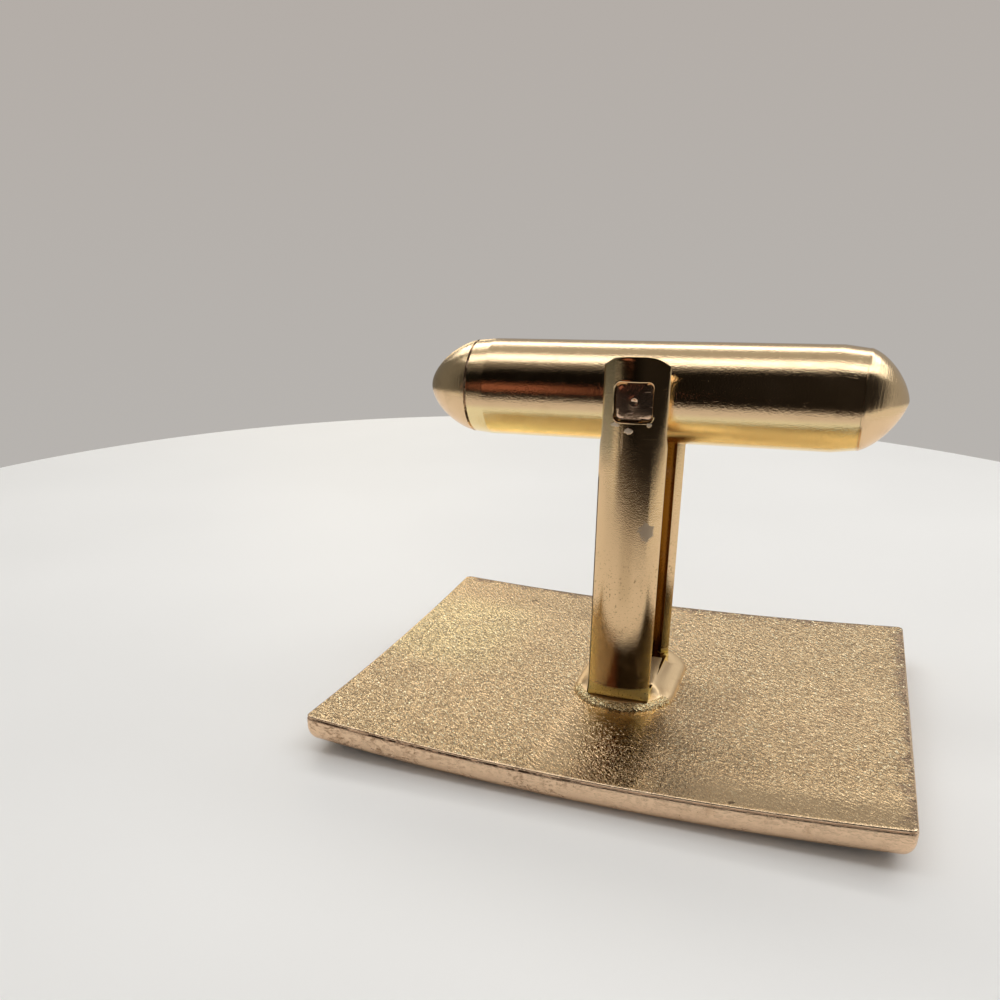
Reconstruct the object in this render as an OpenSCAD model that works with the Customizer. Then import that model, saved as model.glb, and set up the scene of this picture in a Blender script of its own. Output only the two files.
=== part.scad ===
// Cufflink with a domed, enamelled face plate, a bent strip post and a turning toggle bar.
// It lies on its face: the dome touches z = 0 at the origin, +Z runs up the post,
// X follows the plate's long side and the toggle turns about an axis along Y.

/* [Face plate] */
// Length of the plate along X, from corner to corner
plate_l = 24; // [21:0.5:28]
// Width of the plate along Y, from corner to corner
plate_w = 19.6; // [17:0.1:23]
// Thickness of the plate between its metal fields and its back
plate_t = 1; // [0.8:0.05:1.4]
// Radius of the dome that the whole face follows
dome_r = 157; // [120:1:220]
// How far the long sides bow outwards at their middle
bow_long = 0.2; // [0.1:0.01:0.5]
// How far the short sides bow outwards at their middle
bow_short = 0.08; // [0.05:0.01:0.3]
// Radius of the plate's four corners
corner_r = 0.3; // [0.1:0.05:0.5]

/* [Raised border] */
// Width of the raised border
rim_w = 0.7; // [0.4:0.05:1]
// Height of the border above the metal fields
rim_h = 0.15; // [0.08:0.01:0.2]
// Radius of the border's four inner corners
rim_inner_r = 0.12; // [0.05:0.01:0.3]

/* [Enamel] */
// Depth of the cells that hold the enamel
enamel_t = 0.25; // [0.15:0.01:0.4]

/* [Solder pad] */
// Width of the solder pad under the post
pad_w = 5; // [4:0.1:6]
// Length of the solder pad across the two legs
pad_l = 7.6; // [7.2:0.1:9]
// How far the pad sits off the middle, away from the near leg
pad_shift = 0.5; // [0:0.1:0.6]
// Height of the pad above the middle of the plate's back
pad_t = 0.35; // [0.25:0.05:0.6]
// Bevel round the pad's upper edge
pad_edge = 0.2; // [0.1:0.05:0.25]

/* [Post] */
// Height of the pivot above the middle of the plate's back
pivot_h = 13.5; // [13:0.25:17]
// Height of the post's tip above the pivot
post_tip_h = 1.8; // [1.7:0.05:2.2]
// Width of each leg
leg_w = 2.76; // [2.4:0.02:3.2]
// Outer radius of the leg's rounded section
leg_r = 2.5; // [2:0.05:3.5]
// Thickness of the strip that the post is bent from
strip_t = 0.42; // [0.3:0.01:0.5]
// How much narrower each edge of the head is than the shank
head_step = 0.06; // [0.02:0.01:0.12]
// Height over which the shank narrows to the head
neck_h = 0.5; // [0.3:0.1:1]
// Distance from the neck's upper end up to the pivot
head_drop = 1.3; // [1.1:0.1:2]
// Radius of the rounded tip of each leg
tip_r = 2; // [1.8:0.05:2.2]
// Rounding of the post's lower outer edge
heel_r = 0.5; // [0.3:0.05:0.6]
// Rounding inside the bend between leg and web
bend_r = 0.3; // [0.2:0.05:0.5]

/* [Pivot pin] */
// Side of the square pivot pin
pin_side = 1.55; // [1.2:0.05:1.6]
// Radius of the pin's four edges
pin_edge_r = 0.25; // [0.15:0.05:0.35]
// How far the pin's ends lie below the crown of the legs
pin_sink = 0.2; // [0.15:0.01:0.25]
// Diameter of the punch mark in each end of the pin
punch_d = 0.36; // [0.2:0.02:0.5]
// Depth of the punch mark
punch_t = 0.14; // [0.06:0.02:0.2]

/* [Toggle bar] */
// Length of the toggle bar over both noses
toggle_l = 19.6; // [17:0.1:24]
// Diameter of the toggle tube
toggle_d = 4.1; // [4:0.1:4.8]
// Wall of the toggle tube
tube_wall = 0.4; // [0.3:0.05:0.5]
// Gap between the tube and each leg's inner edge
leg_clearance = 0.12; // [0.08:0.01:0.3]
// Gap between the pin's edges and the tube's side holes
pin_clearance = 0.06; // [0.03:0.01:0.1]
// Radius of the tube's turned-in shoulders
shoulder_r = 1.7; // [1.3:0.1:2]
// Radius of the long curve of each nose
nose_r = 6.2; // [5:0.1:7]
// Length of the plug behind each nose
plug_l = 1.5; // [1:0.1:2.5]
// Thickness of the tube's lip round each plug
lip_t = 0.42; // [0.35:0.01:0.5]

/* [Leaf spring] */
// Thickness of the hairpin leaf spring
spring_t = 0.2; // [0.15:0.01:0.25]
// Gap between the spring and the pin's edges as they pass
spring_clearance = 0.05; // [0.03:0.01:0.1]
// Gap between the spring's edges and the tube's bore
spring_side_gap = 0.06; // [0.03:0.01:0.1]
// Gap between each end of the spring and the plug beside it
spring_end_gap = 0.15; // [0.05:0.05:0.3]

/* [Hidden] */
$fn = 96;

// Colours
gilt = "#cfae78";
satin_gilt = "#bfa06c";
spring_steel = "#8d8f92";
black_glaze = "#050507";
green_glaze = "#0d4a2c";
blue_glaze = "#06187a";

// How far every cut runs past what it cuts
overrun = 0.4;
// Facets of the dome's meridian, which is a short piece of a large circle
dome_fn = 1440;
// Steps along half a long side, a corner and half a short side of the outline
side_steps = 6;
corner_steps = 4;
// Points round each oval of the face
oval_points = 72;
// Facets of a circle inside a hull, and steps of the pad's fitted underside
hull_fn = 32;
seat_steps = 8;

// Ovals of the face as shares of the plate: centre along X and Y, length and width
field_oval_shares = [-0.021, -0.024, 1.085, 1.034];
ring_outer_shares = [0, -0.016, 0.93, 0.81];
ring_inner_shares = [0.058, 0.01, 0.745, 0.632];
blue_oval_shares = [0.116, 0.046, 0.471, 0.411];

// Slopes of the nose's outline where the tube ends and where the round tip begins
seam_angle = 27;
tip_angle = 48;

// Heights
back_z = plate_t;
seat_z = back_z + pad_t;
pivot_z = back_z + pivot_h;
tip_z = pivot_z + post_tip_h;
corner_reach = norm([plate_l / 2 + bow_short, plate_w / 2 + bow_long]);
corner_rise = dome_r - sqrt(dome_r * dome_r - corner_reach * corner_reach);
slab_top = back_z + corner_rise + overrun;

// Toggle bar
tube_r = toggle_d / 2;
bore_r = tube_r - tube_wall;
seam_r = tube_r - shoulder_r * (1 - cos(seam_angle));
plug_r = seam_r - lip_t;
tip_start_r = seam_r - nose_r * (cos(seam_angle) - cos(tip_angle));
tip_ball_r = tip_start_r / cos(tip_angle);
shoulder_l = shoulder_r * sin(seam_angle);
nose_curve_l = nose_r * (sin(tip_angle) - sin(seam_angle));
nose_l = nose_curve_l + tip_ball_r * (1 - sin(tip_angle));
seam_x = toggle_l / 2 - nose_l;
straight_x = seam_x - shoulder_l;
plug_x = seam_x - plug_l;

// Pin and the holes that take it
pin_corner_r = (pin_side / 2 - pin_edge_r) * sqrt(2) + pin_edge_r;
side_hole_r = pin_corner_r + pin_clearance;

// Post
leg_half_angle = asin(leg_w / 2 / leg_r);
leg_inner_y = tube_r + leg_clearance;
leg_axis_y = leg_inner_y - (leg_r - strip_t) * cos(leg_half_angle);
crown_y = leg_axis_y + leg_r;
pin_end_y = crown_y - pin_sink;

// Spring
spring_inner_z = pin_corner_r + spring_clearance;
spring_outer_z = spring_inner_z + spring_t;
spring_half_w = sqrt(pow(bore_r - spring_side_gap, 2) - pow(spring_outer_z, 2));
spring_end_x = plug_x - spring_end_gap;

// Outline of the plate: four bowed sides that meet in round corners
function bow_r(chord, bow) = (chord * chord / 4 + bow * bow) / (2 * bow);
function arc(centre, r, a1, a2, steps) =
    [for (i = [0:steps]) centre + r * [cos(a1 + (a2 - a1) * i / steps), sin(a1 + (a2 - a1) * i / steps)]];
// Point left of the line from c1 to c2 where the circles round them cross
function crossing(c1, r1, c2, r2) =
    let (d = norm(c2 - c1), u = (c2 - c1) / d, a = (r1 * r1 - r2 * r2 + d * d) / (2 * d),
        h = sqrt(r1 * r1 - a * a))
    c1 + a * u + h * [-u[1], u[0]];
function outline_quarter(inset, corner) =
    let (long_r = bow_r(plate_l, bow_long), short_r = bow_r(plate_w, bow_short),
        long_c = [0, plate_w / 2 + bow_long - long_r],
        short_c = [plate_l / 2 + bow_short - short_r, 0],
        corner_c = crossing(short_c, short_r - inset - corner, long_c, long_r - inset - corner),
        long_a = atan2(corner_c[1] - long_c[1], corner_c[0] - long_c[0]),
        short_a = atan2(corner_c[1] - short_c[1], corner_c[0] - short_c[0]),
        long_arc = arc(long_c, long_r - inset, 90, long_a, side_steps),
        short_arc = arc(short_c, short_r - inset, short_a, 0, side_steps),
        corner_arc = arc(corner_c, corner, long_a, short_a, corner_steps))
    concat([for (i = [0:side_steps - 1]) long_arc[i]], corner_arc,
        [for (i = [1:side_steps]) short_arc[i]]);
function plate_outline(inset, corner) =
    let (quarter = outline_quarter(inset, corner),
        last = len(quarter) - 1,
        lower_right = [for (i = [last - 1:-1:0]) [quarter[i][0], -quarter[i][1]]],
        right = concat(quarter, lower_right))
    concat(right, [for (i = [1:len(right) - 2]) -right[i]]);

// One oval of the face, given by its shares of the plate
function oval(shares) =
    [for (i = [0:oval_points - 1])
        [plate_l * (shares[0] + shares[2] / 2 * cos(360 * i / oval_points)),
         plate_w * (shares[1] + shares[3] / 2 * sin(360 * i / oval_points))]];

// Everything inside the ball of radius r whose centre is the dome's, near the face
module dome_ball(r) {
    rotate_extrude()
        intersection() {
            translate([0, dome_r])
                circle(r = r, $fn = dome_fn);
            translate([0, -rim_h - overrun])
                square([corner_reach + overrun, slab_top + overrun + rim_h + overrun]);
        }
}

// Upright slab over a flat shape, from below the face to above the plate's corners
module slab() {
    translate([0, 0, -rim_h - overrun / 2])
        linear_extrude(height = slab_top + rim_h + overrun / 2)
            children();
}

module field_shape() {
    polygon(plate_outline(rim_w, rim_inner_r));
}

module corner_cell_shape(side_x, side_y) {
    intersection() {
        difference() {
            field_shape();
            polygon(oval(field_oval_shares));
        }
        translate([side_x > 0 ? 0 : -plate_l, side_y > 0 ? 0 : -plate_w])
            square([plate_l, plate_w]);
    }
}

module ring_cell_shape() {
    difference() {
        intersection() {
            polygon(oval(ring_outer_shares));
            field_shape();
        }
        polygon(oval(ring_inner_shares));
    }
}

module blue_cell_shape() {
    polygon(oval(blue_oval_shares));
}

// Layer of enamel in a cell, level with the metal fields beside it
module enamel() {
    difference() {
        intersection() {
            slab() children();
            dome_ball(dome_r);
        }
        dome_ball(dome_r - enamel_t);
    }
}

module face_plate() {
    color(gilt)
        difference() {
            intersection() {
                slab() polygon(plate_outline(0, corner_r));
                dome_ball(dome_r + rim_h);
            }
            dome_ball(dome_r - plate_t);
            difference() {
                slab() field_shape();
                dome_ball(dome_r);
            }
            difference() {
                slab() {
                    ring_cell_shape();
                    blue_cell_shape();
                    for (side_x = [-1, 1])
                        for (side_y = [-1, 1])
                            corner_cell_shape(side_x, side_y);
                }
                dome_ball(dome_r - enamel_t);
            }
        }
}

module enamel_black(side_x, side_y) {
    color(black_glaze)
        enamel() corner_cell_shape(side_x, side_y);
}

module enamel_green_ring() {
    color(green_glaze)
        enamel() ring_cell_shape();
}

module enamel_blue_oval() {
    color(blue_glaze)
        enamel() blue_cell_shape();
}

// Height of the plate's back at a distance from the middle
function back_at(r) = dome_r - sqrt(pow(dome_r - plate_t, 2) - r * r);

// Everything above the plate's back out to the pad's far end
module above_back() {
    reach = pad_shift + pad_l / 2 + overrun;
    top_z = seat_z + overrun;
    rotate_extrude()
        polygon(concat([[0, top_z]],
            [for (i = [0:seat_steps]) [reach * i / seat_steps, back_at(reach * i / seat_steps)]],
            [[reach, top_z]]));
}

// Flat shape with two round ends, drawn in from the pad's edge by the inset
module pad_shape(inset) {
    run = pad_l - pad_w;
    for (side = [-1, 1])
        translate([0, side * run / 2])
            circle(r = pad_w / 2 - inset, $fn = hull_fn);
    square([pad_w - 2 * inset, run], center = true);
}

module solder_pad() {
    color(satin_gilt)
        intersection() {
            translate([0, pad_shift, back_z - overrun])
                hull() {
                    linear_extrude(height = overrun + pad_t - pad_edge)
                        pad_shape(0);
                    linear_extrude(height = overrun + pad_t)
                        pad_shape(pad_edge);
                }
            above_back();
        }
}

// Wall and floor of the bent strip, as a section from the leg's own axis outwards
module leg_section(height) {
    inner = leg_r - strip_t;
    difference() {
        square([leg_r, height]);
        translate([-overrun, strip_t])
            square([inner + overrun, height]);
        difference() {
            translate([leg_r - heel_r, -overrun])
                square([heel_r + overrun, heel_r + overrun]);
            translate([leg_r - heel_r, heel_r])
                circle(r = heel_r);
        }
    }
    difference() {
        translate([inner - bend_r, strip_t])
            square([bend_r, bend_r]);
        translate([inner - bend_r, strip_t + bend_r])
            circle(r = bend_r);
    }
}

// Front view of the post: shank, narrowed neck, head and round tip
module post_front_shape() {
    head_w = leg_w / 2 - head_step;
    wide_w = leg_w / 2 + head_step;
    neck_z = pivot_z - head_drop;
    tip_centre_z = tip_z - tip_r;
    polygon([[-wide_w, seat_z - overrun], [wide_w, seat_z - overrun],
        [wide_w, neck_z - 2 * neck_h], [head_w, neck_z], [head_w, tip_centre_z],
        [-head_w, tip_centre_z], [-head_w, neck_z], [-wide_w, neck_z - 2 * neck_h]]);
    intersection() {
        translate([0, tip_centre_z])
            circle(r = tip_r);
        translate([-head_w, tip_centre_z - strip_t])
            square([2 * head_w, tip_r + strip_t]);
    }
}

// One leg round its own upright axis, with edges that point at that axis
module leg(height) {
    reach = 2 * leg_r;
    intersection() {
        rotate_extrude()
            leg_section(height);
        translate([0, 0, -overrun])
            linear_extrude(height = height + 2 * overrun)
                polygon([[0, 0], [reach * sin(leg_half_angle), reach * cos(leg_half_angle)],
                    [-reach * sin(leg_half_angle), reach * cos(leg_half_angle)]]);
    }
}

module post() {
    color(gilt)
        difference() {
            intersection() {
                union() {
                    for (turn = [0, 180])
                        rotate([0, 0, turn])
                            translate([0, leg_axis_y, seat_z])
                                leg(tip_z - seat_z + overrun);
                    translate([-leg_w / 2, -leg_inner_y, seat_z])
                        cube([leg_w, 2 * leg_inner_y, strip_t]);
                }
                rotate([90, 0, 0])
                    linear_extrude(height = 2 * crown_y + overrun, center = true)
                        post_front_shape();
            }
            pin_bar(crown_y + overrun);
        }
}

module pin_section() {
    flat = pin_side / 2 - pin_edge_r;
    square([pin_side, 2 * flat], center = true);
    square([2 * flat, pin_side], center = true);
    for (side_x = [-1, 1])
        for (side_y = [-1, 1])
            translate([side_x * flat, side_y * flat])
                circle(r = pin_edge_r);
}

// Square bar along the pivot axis that reaches half_l to each side
module pin_bar(half_l) {
    translate([0, 0, pivot_z])
        rotate([90, 0, 0])
            linear_extrude(height = 2 * half_l, center = true)
                pin_section();
}

module pivot_pin() {
    color(satin_gilt)
        difference() {
            pin_bar(pin_end_y);
            for (side = [-1, 1])
                translate([0, side * pin_end_y, pivot_z])
                    rotate([side * 90, 0, 0])
                        cylinder(h = punch_t, d1 = punch_d, d2 = 0);
        }
}

// Half of the toggle's long section between two radii, from its middle to the seam
module tube_section(r, corner) {
    square([r, straight_x]);
    intersection() {
        translate([r - corner, straight_x])
            circle(r = corner);
        translate([0, straight_x - overrun])
            square([r, seam_x - straight_x + overrun]);
    }
    square([r - corner, seam_x]);
}

module toggle_tube() {
    color(gilt)
        translate([0, 0, pivot_z])
            difference() {
                rotate([0, 90, 0])
                    for (turn = [0, 180])
                        rotate([turn, 0, 0])
                            rotate_extrude()
                                difference() {
                                    tube_section(tube_r, shoulder_r);
                                    tube_section(bore_r, shoulder_r - tube_wall);
                                    translate([0, -overrun])
                                        square([plug_r, seam_x + 2 * overrun]);
                                }
                rotate([90, 0, 0])
                    cylinder(h = toggle_d + overrun, r = side_hole_r, center = true);
            }
}

// Section of one nose beyond the seam, with the plug that holds it in the tube
module nose_section() {
    curve_centre = [seam_r - nose_r * cos(seam_angle), seam_x - nose_r * sin(seam_angle)];
    tip_start_x = seam_x + nose_curve_l;
    translate([0, plug_x])
        square([plug_r, plug_l]);
    intersection() {
        translate(curve_centre)
            circle(r = nose_r, $fn = 4 * $fn);
        translate([0, seam_x])
            square([seam_r, nose_curve_l]);
    }
    intersection() {
        translate([0, toggle_l / 2 - tip_ball_r])
            circle(r = tip_ball_r);
        translate([0, tip_start_x])
            square([tip_ball_r, nose_l]);
    }
}

module nose(side) {
    color(gilt)
        translate([0, 0, pivot_z])
            rotate([0, side * 90, 0])
                rotate_extrude()
                    nose_section();
}

// Bar with one round end at x = 0 that runs to the right
module round_end_bar(half_h, length) {
    circle(r = half_h);
    translate([0, -half_h])
        square([length, 2 * half_h]);
}

// Hairpin of flat strip: two blades along the bore, joined by a bend at the left
module leaf_spring() {
    blade_l = 2 * spring_end_x - spring_outer_z;
    color(spring_steel)
        translate([0, 0, pivot_z])
            rotate([90, 0, 0])
                linear_extrude(height = 2 * spring_half_w, center = true)
                    translate([spring_outer_z - spring_end_x, 0])
                        difference() {
                            round_end_bar(spring_outer_z, blade_l);
                            round_end_bar(spring_inner_z, blade_l + overrun);
                        }
}

face_plate();
enamel_black(-1, -1);  // enamel_black_near_left
enamel_black(1, -1);  // enamel_black_near_right
enamel_black(-1, 1);  // enamel_black_far_left
enamel_black(1, 1);  // enamel_black_far_right
enamel_green_ring();
enamel_blue_oval();
solder_pad();
post();
pivot_pin();
toggle_tube();
nose(-1);  // nose_left
nose(1);  // nose_right
leaf_spring();
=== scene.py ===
"""Cufflink lying on its face: domed enamelled plate, bent strip post and turning toggle bar."""

import math

import bmesh
import bpy
from mathutils import Euler, Matrix, Vector


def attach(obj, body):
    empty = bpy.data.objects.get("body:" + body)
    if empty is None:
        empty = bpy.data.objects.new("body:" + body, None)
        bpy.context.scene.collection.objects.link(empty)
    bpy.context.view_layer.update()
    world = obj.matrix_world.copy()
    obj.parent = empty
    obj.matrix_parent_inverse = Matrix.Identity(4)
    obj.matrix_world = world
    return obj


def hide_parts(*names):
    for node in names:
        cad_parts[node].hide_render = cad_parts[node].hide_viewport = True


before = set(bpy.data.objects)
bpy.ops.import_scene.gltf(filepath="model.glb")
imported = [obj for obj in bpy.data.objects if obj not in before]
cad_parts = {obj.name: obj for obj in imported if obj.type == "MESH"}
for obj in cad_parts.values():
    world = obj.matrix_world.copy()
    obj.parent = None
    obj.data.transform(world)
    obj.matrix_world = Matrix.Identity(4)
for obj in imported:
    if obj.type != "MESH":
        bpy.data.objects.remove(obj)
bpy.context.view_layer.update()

MM = 0.001

# Camera: its place in millimetres, its turns in degrees, and the picture in pixels
CAMERA_PLACE, CAMERA_TURNS = (7.631, -40.758, 20.575), (66.9547, 1.2488, 23.1976)
FOCAL_PX, CENTRE_X_PX, CENTRE_Y_PX, PICTURE_PX = 940.1, 430.0, 640.0, 1000.0
SENSOR_W = 36.0

# Face plate, in millimetres
PLATE_L, PLATE_W, PLATE_T = 24.0, 19.6, 1.0
DOME_R = 157.0
BOW_LONG, BOW_SHORT, CORNER_R = 0.2, 0.08, 0.3
RIM_W, RIM_H, RIM_INNER_R = 0.7, 0.15, 0.12
ENAMEL_T, ENAMEL_EDGE, ENAMEL_EDGE_H = 0.25, 0.03, 0.01
# Radii of the dome for the thin lines round the cells, the enamel and the metal fields
LINE_R, ENAMEL_R, FIELD_R = DOME_R, DOME_R - 0.006, DOME_R - 0.014
LINE_HALF_W, LINE_FOOT_R, LINE_SIDE_R = 0.035, FIELD_R - 0.05, ENAMEL_R - 0.002
# Rounded side: a thin bead at the back, a groove and a broad curve down to the border
BEAD_W, GROOVE_IN, GROOVE_LOW, GROOVE_HIGH = 0.11, 0.06, 0.085, 0.15
CURVE_IN, CURVE_H = 0.4, 0.62
RIM_CREST_W = 0.56
# Rings of the back and of the face: shares of the outline round the middle, then insets from the edge
CENTRE_SHARES = [0.03, 0.12, 0.22, 0.32, 0.42, 0.52, 0.62, 0.72, 0.82, 0.91]
BACK_INSETS = (0.4, 0.2)

# Ovals of the face as shares of the plate: centre along X and Y, length and width
FIELD_OVAL = (-0.021, -0.024, 1.085, 1.034)
RING_OUTER = (0.0, -0.016, 0.93, 0.81)
RING_INNER = (0.058, 0.01, 0.745, 0.632)
BLUE_OVAL = (0.116, 0.046, 0.471, 0.411)
OVAL_POINTS = 160

# Solder pad
PAD_W, PAD_L, PAD_SHIFT, PAD_T = 4.6, 7.6, 0.5, 0.35
PAD_EDGE, PAD_SKIN, PAD_POINTS = 0.5, 0.02, 128
PAD_BASE_Z, PAD_EDGE_Z = PLATE_T - 0.1, PLATE_T + 0.07
ROUGH_TO_Y = -1.6
# Solder on the web: its height over the web, the flat part's half sizes and the slopes round it
SOLDER_H, SOLDER_X, SOLDER_Y, SOLDER_FALL_X, SOLDER_FALL_Y = 0.03, 1.3, 1.5, 0.75, 0.5

# Post
SEAT_Z = PLATE_T + PAD_T
PIVOT_Z = PLATE_T + 13.5
TIP_Z = PIVOT_Z + 1.8
LEG_HALF_W, LEG_R, STRIP_T = 1.38, 2.5, 0.42
HEAD_HALF_W = 1.32
HEEL_R = 0.5
TIP_DROP, TIP_POWER = 0.38, 3.6
LEG_INNER_Y = 2.17
LEG_AXIS_Y = LEG_INNER_Y - (LEG_R - STRIP_T) * math.sqrt(1 - (LEG_HALF_W / LEG_R) ** 2)
CROWN_Y = LEG_AXIS_Y + LEG_R
EDGE_ROLL, EDGE_ROLL_FROM, EDGE_ROLL_UPPER, FOOT_H = 0.16, 0.84, 0.75, 3.5
NECK_TOP_Z, NECK_LOW_Z = PIVOT_Z - 1.3, PIVOT_Z - 1.85
STRIP_EDGE_R, TIP_EDGE_R = 0.13, 0.12

# Pivot pin
PIN_HALF, PIN_EDGE_R, PIN_END_Y = 0.77, 0.22, CROWN_Y - 0.16
PUNCH_R, PUNCH_T = 0.11, 0.07
LIP_W, LIP_H, LIP_DEPTH = 0.075, 0.028, 0.08
HOLE_HALF = 0.78
PIN_POINTS = 64

# Toggle bar
TUBE_R, BORE_R = 2.05, 1.65
PLUG_R, PLUG_X = 1.44, 6.32
# Each end: where it begins to turn in, its seam, the radius there, the tip, its point and its groove
LEFT_END = {"start": 6.7, "seam": 7.5, "seam_r": 1.98, "tip": 9.8, "point": 0.6, "groove": 0.1}
RIGHT_END = {"start": 7.4, "seam": 8.3, "seam_r": 1.935, "tip": 9.93, "point": 0.68, "groove": 0.004}
NOSE_BELLY = 1.5
GROOVE_W = 0.09
TURN_STEPS = 128
# The side holes that the pin passes through, as half a length and half an angle
SIDE_HOLE_HALF, SIDE_HOLE_ANGLE = 1.0525, math.radians(31)

# Wear and painted light: the near leg's surface, bare spots below the pin (across, depth below it, half width
# and height), the dirty strip round the back, the angle of the back's grains and the height below which the
# tube gets a painted amber reflection
NEAR_LEG_Y, NEAR_LEG_REACH = -2.5, 1.5
BARE_SPOTS = ((-0.68, 0.9, 0.2, 0.11), (-0.12, 1.12, 0.2, 0.13), (0.66, 0.86, 0.1, 0.09))
DIRTY_RIM_W = 0.45
GRAIN_ANGLE = math.radians(51)
PAINTED_AMBER_BELOW_Z, PAINTED_AMBER_FADE = PIVOT_Z - 0.45, 0.3

# Stage
TABLE_R, TABLE_PLACE, TABLE_REACH = 57.2, (-15.1, 18.6, -0.01), 50.0
# Painted shade on the table, seen only in reflections: how bright it is by how far in millimetres it lies
# towards the camera
TABLE_TONES = [(10.0, 0.97), (20.0, 0.92), (30.0, 0.8), (40.0, 0.7), (47.5, 0.58), (49.3, 0.03)]

# Metal colours
GOLD = (0.87, 0.655, 0.395, 1)
GOLD_LEG = (0.87, 0.645, 0.37, 1)
GOLD_EDGE = (0.93, 0.71, 0.48, 1)
GOLD_SANDED = (0.84, 0.61, 0.35, 1)
GOLD_ROUGH, GOLD_PAINTED_SPARKLE = (0.80, 0.56, 0.28, 1), (1.0, 0.88, 0.55, 1)
GOLD_DULL = (0.80, 0.60, 0.42, 1)
GOLD_PIN = (0.82, 0.60, 0.42, 1)
# Dark amber copy of the gold: painted shade for the inside of the post
GOLD_INNER_PAINTED_SHADE = (0.25, 0.095, 0.009, 1)
# Painted amber reflection for the tube's lower side
GOLD_PAINTED_AMBER = (1.0, 0.86, 0.47, 1)
GOLD_TARNISH = (0.40, 0.22, 0.10, 1)
OLD_POLISH = (0.07, 0.04, 0.02, 1)
BROWN_PITS = (0.25, 0.13, 0.06, 1)
STEEL_DARK, STEEL_BRIGHT = (0.42, 0.43, 0.44, 1), (0.6, 0.6, 0.6, 1)


# Camera

def build_camera():
    """Camera at the photograph's viewing point."""
    data = bpy.data.cameras.new("camera")
    data.sensor_width = SENSOR_W
    data.lens = SENSOR_W * FOCAL_PX / PICTURE_PX
    data.shift_x = 0.5 - CENTRE_X_PX / PICTURE_PX
    data.shift_y = CENTRE_Y_PX / PICTURE_PX - 0.5
    data.clip_start = 0.001
    data.clip_end = 10
    camera = bpy.data.objects.new("camera", data)
    bpy.context.scene.collection.objects.link(camera)
    turn = Euler([math.radians(angle) for angle in CAMERA_TURNS], "XYZ")
    camera.matrix_world = Matrix.Translation(Vector(CAMERA_PLACE) * MM) @ turn.to_matrix().to_4x4()
    bpy.context.scene.camera = camera


# Node helpers

def connect(socket, value):
    """Links an output to the socket, or gives the socket a plain value."""
    if isinstance(value, bpy.types.NodeSocket):
        socket.id_data.links.new(value, socket)
    else:
        socket.default_value = value


def feed(made, **sockets):
    """Links or sets a node's inputs, named with underscores for spaces."""
    for key, value in sockets.items():
        connect(made.inputs[key.replace("_", " ")], value)


def node(tree, kind, settings=None, **sockets):
    """Adds a node with its settings and its inputs, as for feed."""
    made = tree.nodes.new(kind)
    for key, value in (settings or {}).items():
        setattr(made, key, value)
    feed(made, **sockets)
    return made


def tree_of(*values):
    """The node tree of the first socket among the values."""
    return next(value.id_data for value in values if isinstance(value, bpy.types.NodeSocket))


def maths(operation, a, b=0.0, clamp=False):
    made = node(tree_of(a, b), "ShaderNodeMath", {"operation": operation, "use_clamp": clamp})
    connect(made.inputs[0], a)
    connect(made.inputs[1], b)
    return made.outputs[0]


def times(a, b):
    return maths("MULTIPLY", a, b)


def plus(a, b):
    return maths("ADD", a, b)


def minus(a, b):
    return maths("SUBTRACT", a, b)


def larger(a, b):
    return maths("MAXIMUM", a, b)


def axes(place):
    """The parts X, Y and Z of a place."""
    return node(place.id_data, "ShaderNodeSeparateXYZ", Vector=place).outputs


def mix_colour(factor, a, b, blend="MIX"):
    """Mixes two colours; a Mix node takes them at its inputs 6 and 7 and gives its colour output as 2."""
    made = node(tree_of(factor, a, b), "ShaderNodeMix", {"data_type": "RGBA", "blend_type": blend})
    connect(made.inputs[0], factor)
    connect(made.inputs[6], a)
    connect(made.inputs[7], b)
    return made.outputs[2]


def remap(value, begins, full, to_low=0.0, to_high=1.0):
    """Smooth rise from one place, where it begins, to another, where it is full."""
    made = node(value.id_data, "ShaderNodeMapRange", {"interpolation_type": "SMOOTHSTEP"}, Value=value,
                From_Min=begins, From_Max=full, To_Min=to_low, To_Max=to_high)
    return made.outputs["Result"]


def noise(place, scale, detail, roughness=0.5):
    made = node(place.id_data, "ShaderNodeTexNoise", Vector=place, Scale=scale, Detail=detail,
                Roughness=roughness)
    return made.outputs["Fac"]


def mapped(place, **sockets):
    return node(place.id_data, "ShaderNodeMapping", Vector=place, **sockets).outputs["Vector"]


def object_place(tree, scale=(1, 1, 1), turn=(0, 0, 0)):
    """Object coordinates in millimetres, turned and stretched."""
    place = node(tree, "ShaderNodeTexCoord").outputs["Object"]
    return mapped(place, Scale=Vector(scale) / MM, Rotation=turn)


def new_material(name):
    material = bpy.data.materials.new(name)
    material.use_nodes = True
    tree = material.node_tree
    return material, tree, tree.nodes["Principled BSDF"]


def finish_metal(shader, colour, roughness, height, bump):
    """Gives a metal its colour, roughness and relief, which is as deep as bump says in millimetres."""
    relief = node(shader.id_data, "ShaderNodeBump", Height=height, Strength=1.0, Distance=bump * MM)
    feed(shader, Base_Color=colour, Metallic=1.0, Roughness=roughness, Normal=relief.outputs["Normal"])


# Masks

def spot_mask(place, centre, size, ragged):
    """Soft ragged spot round a centre in millimetres, as wide along each axis as its size says."""
    moved = mapped(place, Scale=[1 / s for s in size], Location=[-c / s for c, s in zip(centre, size)])
    reach = node(place.id_data, "ShaderNodeVectorMath", {"operation": "LENGTH"})
    connect(reach.inputs[0], moved)
    rough = times(minus(noise(place, 4.0, 3.0, 0.6), 0.5), ragged)
    return remap(plus(reach.outputs["Value"], rough), 1.0, 0.7)


def band_mask(value, middle, half_width, soft):
    """One within half a width of the middle, fading to nothing over a soft edge."""
    away = maths("ABSOLUTE", minus(value, middle))
    return remap(away, half_width + soft, half_width)


def area_mask(place, **fades):
    """Area that begins at one place and is full at another along each of the two axes named."""
    parts = axes(place)
    return times(*[remap(parts[axis], *fade) for axis, fade in fades.items()])


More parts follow.
